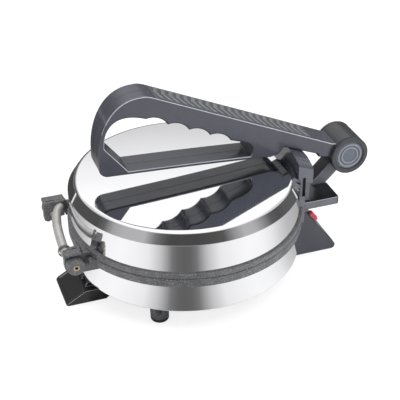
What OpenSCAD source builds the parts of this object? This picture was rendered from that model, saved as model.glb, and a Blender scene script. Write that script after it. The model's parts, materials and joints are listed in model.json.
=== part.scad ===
// Electric roti maker: a hinged two-plate press with a folding lever handle.
// The plate axis is vertical. +X runs from the rear hinge to the barrel of the handle, z = 0 is the table.

/* [Plates] */
// Height of the seam between the two plates above the table
seam_z = 61; // [56:1:68]
// Outer radius of both cast plate rims
rim_r = 115.4; // [113:0.2:118]
// Height of the lower plate's rim
lower_rim_h = 8.5; // [7:0.5:10]
// Height of the upper plate's rim
upper_rim_h = 6; // [5:0.5:7]
// Thickness of the cooking plates behind the cooking faces
plate_t = 7; // [5:0.5:8]
// Depth of each cooking face below its rim
cook_depth = 1.4; // [0.8:0.1:2]
// Radius of the cooking faces
cook_r = 104; // [98:1:106]

/* [Shells] */
// Outer radius of the lid shell
lid_r = 113; // [111.6:0.2:114]
// Outer radius of the base shell
base_r = 112.5; // [111:0.5:114]
// Wall of both steel shells
shell_t = 1; // [0.8:0.1:1.4]
// Height of the lid shell's straight side
lid_side_h = 29.2; // [24:0.2:34]
// Height of the lid shell's bevel
bevel_h = 10.7; // [8:0.1:13]
// Width of the lid shell's bevel
bevel_w = 7.3; // [5:0.1:10]
// Height of the base shell
base_h = 30.5; // [26:0.5:33]
// Radius under the base shell
base_corner_r = 3; // [2:0.5:5]

/* [Heaters] */
// Radius of the heating element's ring
element_r = 68; // [55:1:80]
// Radius of the element's tube
element_tube_r = 3.3; // [2.5:0.1:4]
// Gap in the element's ring, in degrees
element_gap = 30; // [20:1:45]
// Distance of the heat reflector from the plate's back
reflector_gap = 8; // [7.5:0.5:10]
// Thickness of the reflectors
reflector_t = 0.8; // [0.6:0.1:1.2]
// Radius of the reflectors
reflector_r = 98; // [90:1:100]
// Radius of the thermostat
thermostat_r = 12; // [9:1:15]

/* [Hinge] */
// Distance of the hinge axis from the plate axis
hinge_x = 122.5; // [120:0.5:128]
// Height of the hinge axis below the seam
hinge_drop = 4.5; // [2:0.5:6]
// Sideways place of the middle of the hinge
hinge_y = 6; // [0:1:8]
// Half distance between the outer faces of the lower lugs
lug_out = 57.5; // [52:0.5:60]
// Width of each lug
lug_w = 8; // [6:0.5:9]
// Side clearance between the lugs
lug_gap = 0.5; // [0.3:0.1:1]
// Radius of the lower lugs' eyes
eye_r = 8.4; // [8:0.1:10]
// Radius of the hinge pins
pin_r = 3.1; // [3:0.1:4.2]
// Radial running clearance of all pins
pin_gap = 0.05; // [0.03:0.01:0.09]
// Radius of the hole in the hinge pins
pin_hole_r = 1.5; // [1:0.1:2]
// Radius of the wire conduit
conduit_r = 4.5; // [3:0.25:4.75]

/* [Yoke] */
// Inner face of the yoke
yoke_x0 = 103; // [101:0.5:105]
// Thickness of the yoke
yoke_t = 15.5; // [12:0.5:18]
// Half width of the yoke
yoke_half = 41; // [36:1:44]
// Gap between the yoke's bridge and the notch of the handle
bridge_gap = 0.4; // [0.3:0.1:1]
// Radius of the yoke's shoulders
shoulder_r = 4; // [2:0.5:6]
// Width of the yoke's posts along X
post_w = 6; // [5:0.5:8]
// Fall of the yoke's crown towards its shoulders
crown_drop = 3.6; // [2:0.2:5]
// Reach of the lift tab from the plate axis
tab_x = 148.7; // [140:0.1:152]
// Half width of the lift tab
tab_half = 40; // [37:0.5:40.5]
// Thickness of the lift tab
tab_t = 8; // [6:0.5:10]
// Height of the tab's top above the seam
tab_rise = 9; // [8:0.5:14]
// Half width of the stay arm
arm_half = 9; // [7:0.5:11]
// Thickness of the stay arm across its slope
arm_t = 12.4; // [10:0.2:14]

/* [Handle] */
// Distance of the barrel from the plate axis
barrel_x = 167.9; // [164:0.1:174]
// Height of the barrel above the seam
barrel_rise = 41; // [37:0.5:44]
// Radius of the barrel
barrel_r = 19.6; // [17:0.1:21]
// Half length of the barrel
barrel_half = 20; // [18:0.5:24]
// Half width of the handle
handle_half = 15.5; // [13:0.5:17]
// Height of the handle's top corner above the seam
handle_rise = 138.2; // [125:0.1:145]
// Slope of the handle's top, in degrees
handle_slope = 24.1; // [20:0.1:26]
// Thickness of the lower bar
bar_t = 3.2; // [2.6:0.1:5]
// Distance between two finger scallops
finger_pitch = 22.6; // [19:0.1:24]
// Depth of the finger scallops
finger_depth = 3.8; // [2.5:0.1:5]
// Distance between the ribs of the grip pad
rib_pitch = 8; // [6:0.5:12]
// Height of the ribs of the grip pad
rib_h = 0.9; // [0.6:0.1:1.4]
// Radius of the barrel's pin
barrel_pin_r = 4; // [3:0.25:5]

/* [Feet] */
// Radius of the peg feet
peg_r = 9.3; // [6:0.1:10]
// Distance of the peg feet from the plate axis
peg_place = 95; // [90:1:98]
// Direction of the peg feet, in degrees from the hinge
peg_angle = 56.5; // [45:0.5:70]
// Thickness of the rubber tips
tip_h = 4; // [3:0.5:6]
// Width of the foot at the hinge
rear_foot_w = 48; // [40:1:56]
// Sideways place of the foot at the hinge
rear_foot_y = -8; // [-10:1:0]
// Width of the lamp housing
front_foot_w = 56; // [48:1:60]
// Length of a lamp's lens
lens_l = 15; // [10:0.5:18]
// Width of a lamp's lens
lens_w = 8; // [6:0.5:10]
// Distance between the lamps
lamp_pitch = 21; // [16:1:26]

/* [Hidden] */
$fn = 96;
eps = 0.01;
fit = 0.3;                                  // gap between curved faces that meet
seam_gap = 0.3;

hinge_z = seam_z - hinge_drop;
low_rim_z = seam_z - lower_rim_h;           // underside of the lower rim
up_rim_z = seam_z + upper_rim_h;            // top of the upper rim
base_z = low_rim_z - base_h;                // underside of the base shell
bevel_z = up_rim_z + lid_side_h;
lid_top_z = bevel_z + bevel_h;
low_face_z = seam_z - seam_gap / 2 - cook_depth;
up_face_z = seam_z + seam_gap / 2 + cook_depth;
low_back_z = low_face_z - plate_t;
up_back_z = up_face_z + plate_t;
low_reflector_z = low_back_z - reflector_gap;
up_reflector_z = up_back_z + reflector_gap;
spigot_t = 4;
spigot_h = 6;
spacer_r = 4.5;
spacer_place = 86;
up_lug_out = lug_out - lug_w - lug_gap;
up_lug_in = up_lug_out - lug_w;
barrel_z = seam_z + barrel_rise;
yoke_x1 = yoke_x0 + yoke_t;
tab_z1 = seam_z + tab_rise;
tab_z0 = tab_z1 - tab_t;
eye_outer_r = barrel_r - 3.2;
cap_t = 3;
hinge_back = 12.5;                           // reach of the hinge lugs beyond the hinge axis
origin_x = ((hinge_x + hinge_back) - (barrel_x + barrel_r)) / 2;

// The handle's outline, in x and z from the plate axis and the seam
slope_t = tan(handle_slope);
top_x = -34;
function top_line(x) = handle_rise - slope_t * (x - top_x);
neck_x = 136;
notch_x0 = 92;
notch_x1 = 98;
function notch_line(x) = 61.9 - 0.405 * (x - notch_x1);
function under_line(x) = 63.6 - 0.053 * (x + 78) - 0.00013 * pow(max(0, x + 30), 2);
function bez(a, b, c, d, n = 14) = [
  for (i = [0:n]) let (t = i / n)
    a * pow(1 - t, 3) + b * 3 * t * pow(1 - t, 2) + c * 3 * t * t * (1 - t) + d * pow(t, 3)
];
function arc(c, r, a0, a1, n = 10) = [
  for (i = [0:n]) let (a = a0 + (a1 - a0) * i / n) [c[0] + r * cos(a), c[1] + r * sin(a)]
];
function chord_arc(a, b, depth, n = 8) =
  let (m = (a + b) / 2, d = b - a, l = norm(d), r = (l * l / 4 + depth * depth) / (2 * depth),
       up = [-d[1], d[0]] / l, c = m - up * (r - depth), h = asin(l / 2 / r), dir = atan2(up[1], up[0]))
  [for (i = [0:n]) let (t = dir + h - 2 * h * i / n) c + r * [cos(t), sin(t)]];

band_x = -87;                               // outer face of the handle's closed end
band_low = 79;
handle_outline = concat(
  bez([band_x, band_low], [band_x, 109], [-74, top_line(-74) - 16], [-44, handle_rise + 1.6]),
  [[-39, handle_rise + 1.7], [top_x, handle_rise]],
  [[150, top_line(150)], [barrel_x, top_line(150) - 6], [barrel_x, 42], [146, 41.4], [neck_x, 43.4]],
  [[neck_x - 1, notch_line(neck_x - 1)], [notch_x1, notch_line(notch_x1)], [95, 58.2], [notch_x0, 54.9]],
  [for (x = [84:-18:-60]) [x, under_line(x)]],
  arc([band_x + 9, under_line(-78) + 9], 9, 270, 180)
);

cusp0 = [-40, 117];
scallops = 4;
function cusp(i) = cusp0 + i * finger_pitch * [cos(handle_slope + 0.2), -sin(handle_slope + 0.2)];
loop_outline = concat(
  bez([-80.6, 93.4], [-80.8, 112], [-71, 129.5], cusp0, 16),
  [for (i = [0:scallops - 1]) each [for (p = chord_arc(cusp(i), cusp(i + 1), finger_depth)) p]],
  bez(cusp(scallops), cusp(scallops) + [12, -5], [70, 74], [63.5, under_line(63.5) + bar_t], 10),
  [for (x = [48, 30, 12, -6, -24, -42, -59]) [x, under_line(x) + bar_t]]
);

module place() { translate([origin_x, 0, 0]) children(); }
// Extrudes an outline drawn in x and z from y0 to y1
module slab(y0, y1) { translate([0, y1, 0]) rotate([90, 0, 0]) linear_extrude(y1 - y0) children(); }
// Extrudes an outline drawn in x and height above the seam
module handle_slab(y0, y1) { translate([0, 0, seam_z]) slab(y0, y1) children(); }
module rod(r, y0, y1) { translate([0, y1, 0]) rotate([90, 0, 0]) cylinder(r = r, h = y1 - y0); }
module at_hinge() { translate([-hinge_x, hinge_y, hinge_z]) children(); }
module at_barrel() { translate([barrel_x, 0, barrel_z]) children(); }
module round_plate(x0, x1, y0, y1, r) {
  difference() {
    translate([x0, y0]) square([x1 - x0, y1 - y0]);
    for (y = [y0, y1]) translate([x1, y]) square(2 * r, center = true);
  }
  for (y = [y0 + r, y1 - r]) translate([x1 - r, y]) circle(r);
}

// ---- base ----
module base_shell() color("silver") place() rotate_extrude() {
  ri = base_r - shell_t;
  ci = base_corner_r - shell_t;
  polygon(concat(
    [[ri - 9, base_z], [base_r - base_corner_r, base_z]],
    arc([base_r - base_corner_r, base_z + base_corner_r], base_corner_r, -90, 0, 6),
    [[base_r, low_rim_z], [ri, low_rim_z]],
    arc([base_r - base_corner_r, base_z + base_corner_r], ci, 0, -90, 6),
    [[ri - 9, base_z + shell_t]]
  ));
}

cover_t = 1.2;
cover_r = base_r - base_corner_r - shell_t;
cover_z = base_z + shell_t;
module base_cover() color("#2b2b2d") place() difference() {
  union() {
    translate([0, 0, cover_z]) cylinder(r = cover_r, h = cover_t);
    for (a = [0:15:345]) rotate(a) translate([40, -1, cover_z - 0.6]) cube([30, 2, 0.6 + eps]);
  }
  for (a = [7.5:15:352.5]) rotate(a) translate([80, 0, cover_z - 1]) cylinder(r = 2.5, h = 4, $fn = 24);
}

module cover_screws() color("#8d8f92") place() for (a = [30:120:270])
  rotate(a) translate([spacer_place, 0, 0]) {
    translate([0, 0, cover_z - 1.8]) cylinder(r = 3.4, h = 1.8, $fn = 32);
  }

// The room that a shell's wall needs in a plate
module shell_groove(r, z, h) translate([0, 0, z]) difference() {
  cylinder(r = r + fit, h = h);
  translate([0, 0, -1]) cylinder(r = r - shell_t - fit, h = h + 2);
}
module hinge_bore(y0, y1) at_hinge() rod(pin_r + pin_gap, y0, y1);

arm_drop = 0.7 * eye_r;
lug_root = hinge_x - sqrt(pow(rim_r - 4, 2) - pow(lug_out + hinge_y, 2));
module lower_plate() color("#5a5754") place() difference() {
  union() {
    translate([0, 0, 0]) rotate_extrude() polygon([
      [0, low_back_z], [base_r - shell_t - fit - spigot_t, low_back_z],
      [base_r - shell_t - fit - spigot_t, low_rim_z - spigot_h],
      [base_r - shell_t - fit, low_rim_z - spigot_h],
      [base_r - shell_t - fit, low_rim_z], [rim_r - 0.6, low_rim_z], [rim_r, low_rim_z + 0.6],
      [rim_r, seam_z - seam_gap / 2 - 0.8], [rim_r - 0.8, seam_z - seam_gap / 2],
      [cook_r + 2, seam_z - seam_gap / 2], [cook_r, low_face_z], [0, low_face_z]
    ]);
    for (s = [-1, 1]) at_hinge() {
      y0 = s < 0 ? -lug_out : lug_out - lug_w;
      rod(eye_r, y0, y0 + lug_w);
      translate([0, y0, -arm_drop]) cube([lug_root, lug_w, arm_drop + 0.5]);
      translate([12.4, s < 0 ? -lug_out : up_lug_in, -3.5]) cube([16, lug_out - up_lug_in, 7.5]);
    }
  }
  for (s = [-1, 1]) hinge_bore(s * (lug_out - lug_w / 2) - lug_w, s * (lug_out - lug_w / 2) + lug_w);
  shell_groove(base_r, low_rim_z - 12, 12);
  translate([0, 0, low_face_z]) cylinder(r = cook_r, h = 10);
}

module element(z, side) {
  rotate(180 + element_gap / 2) rotate_extrude(angle = 360 - element_gap)
    translate([element_r, 0]) circle(element_tube_r, $fn = 32);
  for (s = [-1, 1]) rotate(180 + s * element_gap / 2) translate([element_r, 0, 0]) {
    sphere(element_tube_r, $fn = 32);
    translate([0, 0, side < 0 ? -9 : 0]) cylinder(r = 2, h = 9, $fn = 24);
  }
}
element_off = element_tube_r + 0.05;
module lower_element() color("#7b4a2e") place() translate([0, 0, low_back_z - element_off]) element(0, -1);
module upper_element() color("#7b4a2e") place() translate([0, 0, up_back_z + element_off]) element(0, 1);

// Holes over the two ends of a heating element
module terminal_holes(z, h) for (s = [-1, 1]) rotate(180 + s * element_gap / 2)
  translate([element_r, 0, z]) cylinder(r = 3.5, h = h, $fn = 32);
module reflector(z) difference() {
  translate([0, 0, z]) cylinder(r = reflector_r, h = reflector_t);
  translate([0, 0, z - 1]) cylinder(r = thermostat_r + 3, h = 4);
  terminal_holes(z - 1, 4);
}
module lower_reflector() color("#c9ccd0") place() reflector(low_reflector_z - reflector_t);
module upper_reflector() color("#c9ccd0") place() reflector(up_reflector_z);
module spacers(z0, z1) for (a = [30:120:270]) rotate(a)
  translate([spacer_place, 0, z0]) cylinder(r = spacer_r, h = z1 - z0, $fn = 32);
module lower_spacers() color("#9a9ca0") place() {
  spacers(low_reflector_z, low_back_z);
  for (a = [30:120:270]) rotate(a) translate([spacer_place, 0, cover_z + cover_t])
    cylinder(r = 3, h = low_reflector_z - reflector_t - cover_z - cover_t, $fn = 32);
}
module upper_spacers() color("#9a9ca0") place() spacers(up_back_z, up_reflector_z);

module thermostat() color("#d8d2c4") place() {
  translate([0, 0, low_back_z - 7]) cylinder(r = thermostat_r, h = 7);
  translate([0, 0, low_back_z - 10]) cylinder(r = thermostat_r - 4, h = 3.1);
  for (s = [-1, 1]) translate([-3, s * 8 - 0.5, low_back_z - 14]) cube([6, 1, 7.1]);
}
module thermal_fuse() color("#e0dccf") place() {
  translate([14, 0, up_back_z + 2.1]) rotate([0, 90, 0]) cylinder(r = 2, h = 14, $fn = 32);
  for (x = [12, 28]) translate([x, -3, up_back_z]) cube([2, 6, 4.2]);
}

block_w = 34;
block_x = -64;
module terminal_block() color("#ece8dc") place() translate([block_x, -block_w / 2, cover_z + cover_t])
difference() {
  union() { cube([14, block_w, 7]); translate([3, 0, 6.9]) cube([8, block_w, 3]); }
  for (i = [0:2]) translate([7, 6 + i * 11, 4]) cylinder(r = 2.4, h = 8, $fn = 24);
}

module at_pegs() for (s = [-1, 1]) rotate(180 + s * peg_angle) translate([peg_place, 0, 0]) children();
module peg_feet() color("#38393c") place() at_pegs() difference() {
  translate([0, 0, tip_h]) cylinder(r1 = peg_r - 0.5, r2 = peg_r, h = base_z - tip_h);
  translate([0, 0, tip_h - 1]) cylinder(r = 2.2, h = 6, $fn = 24);
}
tip_corner = 2.6;
module foot_tips() color("#1d1d1f") place() at_pegs() {
  rotate_extrude() polygon(concat(
    [[0, 0]],
    arc([peg_r - tip_corner - 0.5, tip_corner], tip_corner, -90, 0, 5),
    [[peg_r - 0.5, tip_h], [0, tip_h]]
  ));
  translate([0, 0, tip_h - eps]) cylinder(r = 2, h = 3, $fn = 24);
}

foot_toe = 131.5;
foot_ledge_z = 13;
foot_ledge_x = 111.5;
foot_lip = 1.6;
function foot_line(d) = foot_lip + d * (foot_ledge_z - foot_lip) / (foot_toe - foot_ledge_x);
module hinge_foot() color("#262628") place() {
  y0 = rear_foot_y - rear_foot_w / 2;
  y1 = rear_foot_y + rear_foot_w / 2;
  difference() {
    intersection() {
      slab(y0, y1) polygon([
        [-foot_toe, 0], [-foot_toe, foot_lip], [-foot_ledge_x, foot_ledge_z],
        [-95, foot_ledge_z], [-86, 7], [-88, 3], [-92, 0]
      ]);
      translate([0, 0, -1]) linear_extrude(foot_ledge_z + 2) mirror([1, 0])
        round_plate(80, foot_toe, y0, y1, 3);
    }
    slab(y0 + 3, y1 - 3) polygon([
      [3 - foot_toe, foot_line(3) - 0.8], [-foot_ledge_x - 2, foot_line(foot_toe - foot_ledge_x - 2) - 0.8],
      [-foot_ledge_x - 2, foot_ledge_z + 5], [3 - foot_toe, foot_ledge_z + 5]
    ]);
  }
  slab(y0 + 8, y1 - 8) polygon([
    [-108, foot_ledge_z - eps], [-106, base_z], [-84, base_z], [-88, 4], [-96, 4]
  ]);
  for (y = [y0 + 8, rear_foot_y - 1.5, y1 - 11]) slab(y, y + 3) polygon([
    [-111, foot_ledge_z - 1], [-108, foot_ledge_z + 4], [-106, foot_ledge_z + 4], [-106, foot_ledge_z - 1]
  ]);
}

gland_x = -100;
module cord_gland() color("#1c1c1e") place() {
  y1 = rear_foot_y + rear_foot_w / 2;
  difference() {
    translate([gland_x, 0, 7]) rod(5, y1, y1 + 3);
    translate([gland_x, 0, 7]) rod(3, y1 + 1, y1 + 4);
  }
}

slope_x0 = 117.1;
slope_z0 = 53;
slope_x1 = 153.2;
slope_z1 = 6;
slope_a = atan2(slope_z0 - slope_z1, slope_x1 - slope_x0);
toe_r = 4;
flange_x0 = 92;
flange_t = 4;
lamp_x = 133.2;
lamp_z = slope_z0 - (lamp_x - slope_x0) * tan(slope_a);
module at_lamp(i) translate([lamp_x, (i - 0.5) * lamp_pitch, lamp_z]) rotate([0, slope_a, 0]) children();
module stadium(l, w) {
  square([l - w, w], center = true);
  for (s = [-1, 1]) translate([s * (l - w) / 2, 0]) circle(w / 2, $fn = 48);
}
holder_t = 3;
module lamp_housing() color("#3f4042") place() {
  h = front_foot_w / 2;
  difference() {
    slab(-h, h) polygon(concat(
      [[flange_x0, base_z - flange_t], [108, base_z - flange_t], [110, 0]],
      arc([slope_x1 - toe_r + 0.3, toe_r], toe_r, -90, 90 - slope_a, 8),
      [[slope_x0, slope_z0], [108, slope_z0], [108, base_z], [flange_x0, base_z]]
    ));
    translate([0, 0, base_z]) cylinder(r = base_r + fit, h = 80);
    translate([0, 0, low_rim_z - 0.6]) cylinder(r = rim_r + 0.6, h = 20);
    for (i = [0, 1]) at_lamp(i) translate([0, 0, -holder_t]) linear_extrude(holder_t + 1)
      stadium(lens_l + 3, lens_w + 3);
  }
}
module lamp_holders() color("#c8c8c8") place() for (i = [0, 1]) at_lamp(i) difference() {
  translate([0, 0, -holder_t]) linear_extrude(holder_t + 0.5) stadium(lens_l + 2.8, lens_w + 2.8);
  translate([0, 0, -holder_t + 1]) linear_extrude(holder_t + 1) stadium(lens_l + 0.2, lens_w + 0.2);
}
lens_h = 4.6;
module lens() {
  translate([0, 0, -holder_t + 1]) linear_extrude(holder_t + 0.6) stadium(lens_l, lens_w);
  for (k = [0:3]) let (q = k / 4, in = 1 - sqrt(1 - pow((k + 1) / 4.4, 2)))
    translate([0, 0, 1.6 + q * (lens_h - 1.6) - 0.05]) linear_extrude((lens_h - 1.6) / 4 + 0.05)
      stadium(lens_l - in * lens_w * 0.8, lens_w - in * lens_w * 0.8);
}
module red_lamp() color("#d11f36") place() at_lamp(0) lens();
module green_lamp() color("#2f9d4a") place() at_lamp(1) lens();
module housing_screws() color("#8d8f92") place() for (s = [-1, 1])
  translate([flange_x0 + 7, s * 18, base_z - flange_t - 1.8]) cylinder(r = 3, h = 1.8, $fn = 32);

module hinge_pins() color("#c9b184") place() for (s = [-1, 1]) at_hinge() {
  y0 = s < 0 ? -lug_out - 0.6 : up_lug_in;
  difference() {
    rod(pin_r, y0, y0 + lug_out - up_lug_in + 0.6);
    rod(pin_hole_r, y0 - 1, y0 + lug_out - up_lug_in + 2);
  }
}

// ---- lid ----
module lid_shell() color("#e4e6e8") place() rotate_extrude() polygon([
  [lid_r - shell_t, up_rim_z], [lid_r, up_rim_z], [lid_r, bevel_z], [lid_r - bevel_w, lid_top_z],
  [0, lid_top_z], [0, lid_top_z - shell_t], [lid_r - bevel_w - 0.5 * shell_t, lid_top_z - shell_t],
  [lid_r - shell_t, bevel_z - 0.4 * shell_t]
]);

lug_top = 13.5;                              // height of the upper lugs over the hinge axis
lug_back = 8.8;
ledge_w = 12;                                // the ledge on top of an upper lug, over the lower lug's eye
ledge_t = 2.4;
module upper_plate() color("#5a5754") place() difference() {
  union() {
    rotate_extrude() polygon([
      [0, up_face_z], [cook_r, up_face_z], [cook_r + 2, seam_z + seam_gap / 2],
      [rim_r - 0.8, seam_z + seam_gap / 2],
      [rim_r, seam_z + seam_gap / 2 + 0.8], [rim_r, up_rim_z - 0.6], [rim_r - 0.6, up_rim_z],
      [lid_r - shell_t - fit, up_rim_z], [lid_r - shell_t - fit, up_rim_z + spigot_h],
      [lid_r - shell_t - fit - spigot_t, up_rim_z + spigot_h],
      [lid_r - shell_t - fit - spigot_t, up_back_z], [0, up_back_z]
    ]);
    for (s = [-1, 1]) at_hinge() {
      ledge_l = s < 0 ? 6.5 : 13;
      y0 = s < 0 ? -up_lug_out : up_lug_in;
      rod(eye_r - 1, y0, y0 + lug_w);
      slab(y0, y0 + lug_w) polygon([
        [-lug_back, 2.5 - eye_r], [-lug_back, lug_top - 1], [1 - lug_back, lug_top], [ledge_l, lug_top],
        [ledge_l + 2.5, lug_top - 4.5], [26, lug_top - 4.5], [26, hinge_drop + 1], [12, hinge_drop + 1],
        [11.3, hinge_drop], [11.3, -3.5], [3, -4],
        [3.5 - lug_back, 0.5 - eye_r]
      ]);
      y1 = s < 0 ? -up_lug_in - 1 - ledge_w : up_lug_in + 1;
      slab(y1, y1 + ledge_w) polygon([
        [-lug_back, lug_top - ledge_t], [-lug_back, lug_top - 0.8], [0.8 - lug_back, lug_top],
        [ledge_l - 0.8, lug_top], [ledge_l, lug_top - 0.8], [ledge_l, lug_top - ledge_t]
      ]);
    }
  }
  for (s = [-1, 1]) at_hinge() translate([-6, s * (up_lug_in + 4) - 0.6, lug_top - 0.8]) cube([9, 1.2, 2]);
  for (s = [-1, 1]) hinge_bore(s * (up_lug_out - lug_w / 2) - lug_w, s * (up_lug_out - lug_w / 2) + lug_w);
  shell_groove(lid_r, up_rim_z, 20);
  conduit_seat();
  translate([0, 0, up_face_z - 10 - eps]) cylinder(r = cook_r, h = 10 + eps);
}

module insulation_pad() color("#d9d4c6") place() difference() {
  translate([0, 0, up_reflector_z + reflector_t]) cylinder(r = reflector_r - 3, h = 12);
  translate([0, 0, up_reflector_z]) cylinder(r = thermostat_r + 3, h = 20);
  terminal_holes(up_reflector_z, 20);
}

bridge_z0 = seam_z + notch_line(yoke_x0) - bridge_gap;
bridge_z1 = seam_z + notch_line(yoke_x1) - bridge_gap;
post_z = seam_z - 12.5;
post_in = yoke_half - 7;                     // inner face of the yoke's posts
post_x = yoke_x0 + 2 + post_w;
web_low = tab_z0 - 6.5;
web_z = seam_z + 32;
module lid_envelope(g) {
  translate([0, 0, seam_z - 20]) cylinder(r = rim_r + g, h = 20 + upper_rim_h + g);
  translate([0, 0, seam_z]) cylinder(r = lid_r + g, h = bevel_z - seam_z + g / 2);
  translate([0, 0, bevel_z]) cylinder(r1 = lid_r + g, r2 = lid_r - bevel_w + g, h = bevel_h + g / 4);
}
// The crown over the yoke, in y and the height across the slope
module crown() {
  flat = yoke_half * 0.6;
  c = yoke_half - shoulder_r;
  polygon(concat(
    [[-yoke_half, -120], [yoke_half, -120]],
    arc([c, -crown_drop - shoulder_r], shoulder_r, 0, 70, 4),
    [[(flat + c) / 2, -0.36 * crown_drop], [flat, 0], [-flat, 0], [-(flat + c) / 2, -0.36 * crown_drop]],
    arc([-c, -crown_drop - shoulder_r], shoulder_r, 110, 180, 4)
  ));
}
notch_a = atan2(bridge_z0 - bridge_z1, yoke_t);
module yoke() color("#4a4c52") place() difference() {
  intersection() {
    translate([yoke_x0, -yoke_half, post_z]) cube([yoke_t, 2 * yoke_half, bridge_z0 - post_z]);
    translate([yoke_x0, 0, bridge_z0]) rotate([0, notch_a, 0]) translate([-60, 0, 0])
      rotate([90, 0, 90]) linear_extrude(140) crown();
  }
  lid_envelope(fit);
  translate([yoke_x0 - 1, -post_in, post_z - 1]) cube([yoke_t + 2, 2 * post_in, web_low - post_z + 1]);
  for (s = [-1, 1]) {
    translate([post_x, s > 0 ? post_in : -60, post_z - 1]) cube([20, 60 - post_in, web_z - post_z + 1]);
    translate([yoke_x0 + 4.4, s * yoke_half - 5, seam_z + 18]) cube([3.4, 10, 21]);
    for (z = [0, 1]) translate([yoke_x0, s * (29 + 4 * z), bridge_z0 - 1.6 - 1.1 * z]) rotate([0, notch_a, 0])
      translate([-5, -0.5, 0]) cube([30, 1, 4]);
  }
}
module yoke_screws() color("#8d8f92") place() for (s = [-1, 1])
  translate([yoke_x1, s * 22, seam_z + 24]) rotate([0, 90, 0]) cylinder(r = 3.2, h = 1.6, $fn = 32);

slot_half = arm_half + 0.6;
module lift_tab() color("#2c2d30") place() translate([0, 0, tab_z0]) linear_extrude(tab_t) {
  difference() {
    round_plate(yoke_x1, tab_x, -tab_half, tab_half, 2.4);
    translate([yoke_x1 - 1, -slot_half]) square([60, 2 * slot_half]);
  }
  for (y = [-tab_half, post_in]) translate([post_x, y]) square([yoke_x1 - post_x + eps, tab_half - post_in]);
}

arm_c = barrel_x - barrel_z + 4.1;
arm_w = arm_t * sqrt(2) / 2;
module stay_arm() color("#6c6e72") place() difference() {
  union() {
    slab(-arm_half, arm_half) polygon([
      [yoke_x1, yoke_x1 - arm_c + arm_w], [yoke_x1, web_low], [web_low + arm_c + arm_w, web_low],
      [barrel_z + arm_c + arm_w - 6, barrel_z - 6], [barrel_x + 2, barrel_z], [barrel_x - arm_w, barrel_z - 3]
    ]);
    at_barrel() rod(eye_outer_r, -arm_half, arm_half);
  }
  at_barrel() rod(barrel_pin_r + 2, -arm_half - 1, arm_half + 1);
}

conduit_z = seam_z + 4.6;
conduit_end_y = hinge_y - up_lug_in - 3;      // the front end sits this deep in its lug
conduit_route = [
  [-116, hinge_y + up_lug_in, conduit_z], [-116.1, 44, conduit_z], [-119.2, 38.2, conduit_z],
  [-122.2, 30, conduit_z], [-124.2, 21.1, conduit_z], [-125.8, 12.2, conduit_z], [-126.8, 3.3, conduit_z],
  [-127.6, -5.6, conduit_z], [-128.1, -14.5, conduit_z], [-128.6, -23.3, conduit_z], [-129, -30, conduit_z],
  [-129, hinge_y - up_lug_in, conduit_z], [-129, conduit_end_y, conduit_z]
];
conduit_front = conduit_route[len(conduit_route) - 2];
module conduit_seat() translate([conduit_front[0], 0, conduit_z])
  rod(conduit_r + fit + 0.2, conduit_end_y - 0.4, hinge_y - up_lug_in + 1);
function ring(p, d, r, n) = let (u = [0, 0, 1], v = cross(u, d) / norm(cross(u, d)))
  [for (k = [0:n - 1]) p + r * cos(360 * k / n) * v + r * sin(360 * k / n) * u];
module tube(route, r, n = 12) {
  m = len(route);
  points = [
    for (i = [0:m - 1])
    let (a = route[max(0, i - 1)], b = route[min(m - 1, i + 1)])
    each ring(route[i], i == 0 || i == m - 1 ? [0, -1, 0] : b - a, r, n)
  ];
  faces = concat(
    [[for (k = [0:n - 1]) k]],
    [for (i = [0:m - 2], k = [0:n - 1]) [i * n + k, (i + 1) * n + k, (i + 1) * n + (k + 1) % n]],
    [for (i = [0:m - 2], k = [0:n - 1]) [i * n + k, (i + 1) * n + (k + 1) % n, i * n + (k + 1) % n]],
    [[for (k = [n - 1:-1:0]) (m - 1) * n + k]]
  );
  polyhedron(points, faces);
}
module wire_conduit() color("#b9bbbd") place() tube(conduit_route, conduit_r);
module conduit_glands() color("#55534f") place() for (s = [-1, 1])
  translate(s < 0 ? conduit_route[0] : conduit_front) difference() {
    rod(conduit_r + 1.6, s < 0 ? -3 : 0, s < 0 ? 0 : 3);
    rod(conduit_r + fit + 0.5, -4, 4);
  }

// ---- handle ----
drum_gap = 0.4;
mouth_from = 203;                            // directions that the drum's mouth opens between, for the arm
mouth_to = 388;
pad_recess = 1.6;
pad_half = handle_half - 2;
pad_x0 = -30;
pad_l = 184;
module on_top() translate([pad_x0, 0, seam_z + top_line(pad_x0)]) rotate([0, handle_slope, 0]) children();
module handle_half(y0, y1) {
  s = y0 < 0 ? -1 : 1;
  difference() {
    union() {
      handle_slab(y0, y1) difference() { polygon(handle_outline); polygon(loop_outline); }
      at_barrel() rod(barrel_r, s < 0 ? -barrel_half + cap_t : 0, s < 0 ? 0 : barrel_half - cap_t);
    }
    at_barrel() rod(eye_outer_r + 0.8, -arm_half - drum_gap, arm_half + drum_gap);
    at_barrel() slab(-arm_half - drum_gap, arm_half + drum_gap)
      polygon(concat([[0, 0]], arc([0, 0], 2 * barrel_r, mouth_from, mouth_to, 8)));
    at_barrel() rod(barrel_pin_r + pin_gap, -barrel_half, barrel_half);
    on_top() translate([0, -pad_half, -pad_recess]) cube([pad_l - 10, 2 * pad_half, 20]);
    difference() {
      at_barrel() rod(60, -barrel_half, -handle_half);
      at_barrel() rod(barrel_r, -barrel_half - 1, barrel_half);
    }
    for (p = screw_spots) translate([p[0], 0, seam_z + p[1]]) rod(2, -1, handle_half - 3);
    for (p = screw_spots) translate([p[0], 0, seam_z + p[1]]) rod(3.6, handle_half - 3, handle_half + 1);
  }
}
screw_spots = [[-83, 74], [-62, 129.2], [74, 66], [127, 56]];
module handle_front() color("#4b4e57") place() handle_half(-handle_half, 0);
module handle_rear() color("#4b4e57") place() handle_half(0, handle_half);
module handle_screws() color("#8d8f92") place() for (p = screw_spots) translate([p[0], 0, seam_z + p[1]]) {
  rod(1.8, 0.5, handle_half - 2.9);
  rod(3.2, handle_half - 3, handle_half - 1);
}

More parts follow.
